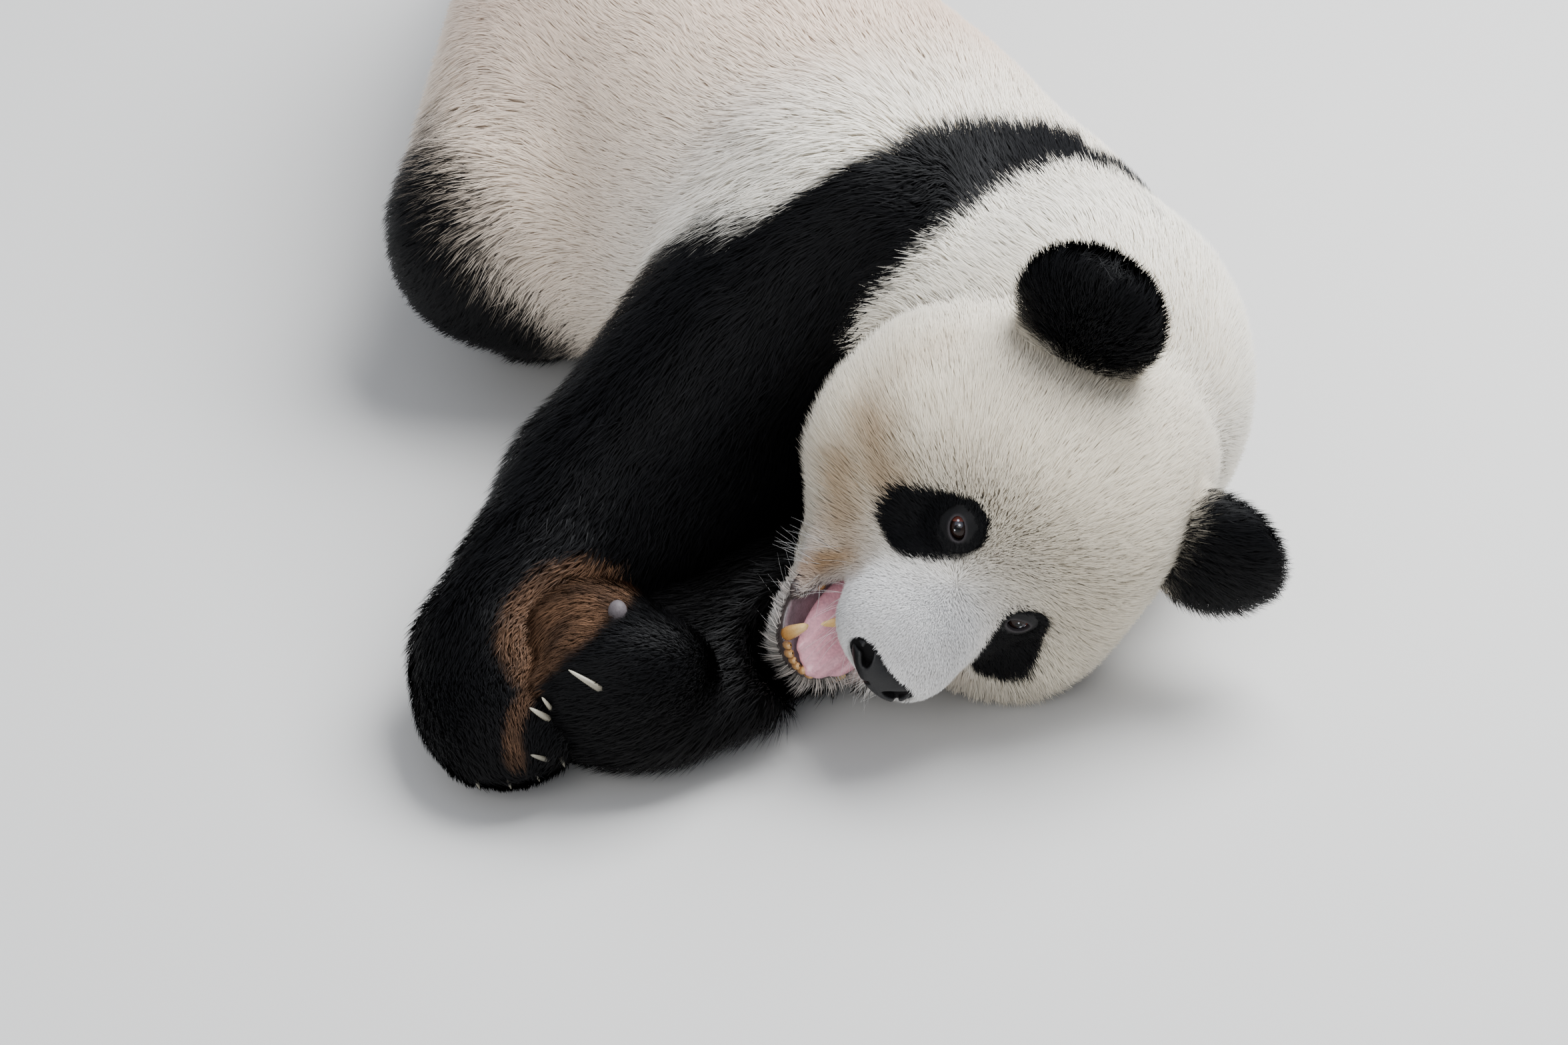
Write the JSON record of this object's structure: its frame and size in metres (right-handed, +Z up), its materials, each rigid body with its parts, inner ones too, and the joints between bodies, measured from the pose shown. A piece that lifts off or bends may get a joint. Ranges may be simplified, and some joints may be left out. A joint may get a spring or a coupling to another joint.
{
  "type": "giant panda",
  "caption": "Life-size giant panda lying on its left side, head turned forward, mouth open, forelegs reaching across in front of the chest.",
  "frame": {"origin": "middle of the bounding box on the floor the panda lies on", "axes": "+Z up, away from the floor; +Y from the head towards the rump, the longest direction; +X towards the panda's back"},
  "size_m": [0.8062, 1.4608, 0.4234],
  "materials": {
    "fur_white": "dense coarse fur, cream white, short on the face and longer on the body",
    "fur_black": "dense coarse black fur",
    "nose_black": "moist pebbled bare skin",
    "eye_dark": "wet glossy eyeball",
    "tongue_pink": "wet soft tongue"
  },
  "bodies": {
    "root": {"arm_left": "fur_black", "ear_left": "fur_black", "ear_right": "fur_black", "eye_left": "eye_dark", "eye_right": "eye_dark", "forearm_right": "fur_black", "forepaw_left": "fur_black", "forepaw_right": "fur_black", "head": "fur_white", "hindpaw_left": "fur_black", "hindpaw_right": "fur_black", "leg_left": "fur_black", "lower_jaw": "fur_white", "neck": "fur_white", "nose": "nose_black", "shank_right": "fur_black", "shoulders": "fur_black", "tail": "fur_white", "thigh_right": "fur_black", "tongue": "tongue_pink", "trunk": "fur_white", "upper_arm_right": "fur_black"}
  },
  "joints": []
}
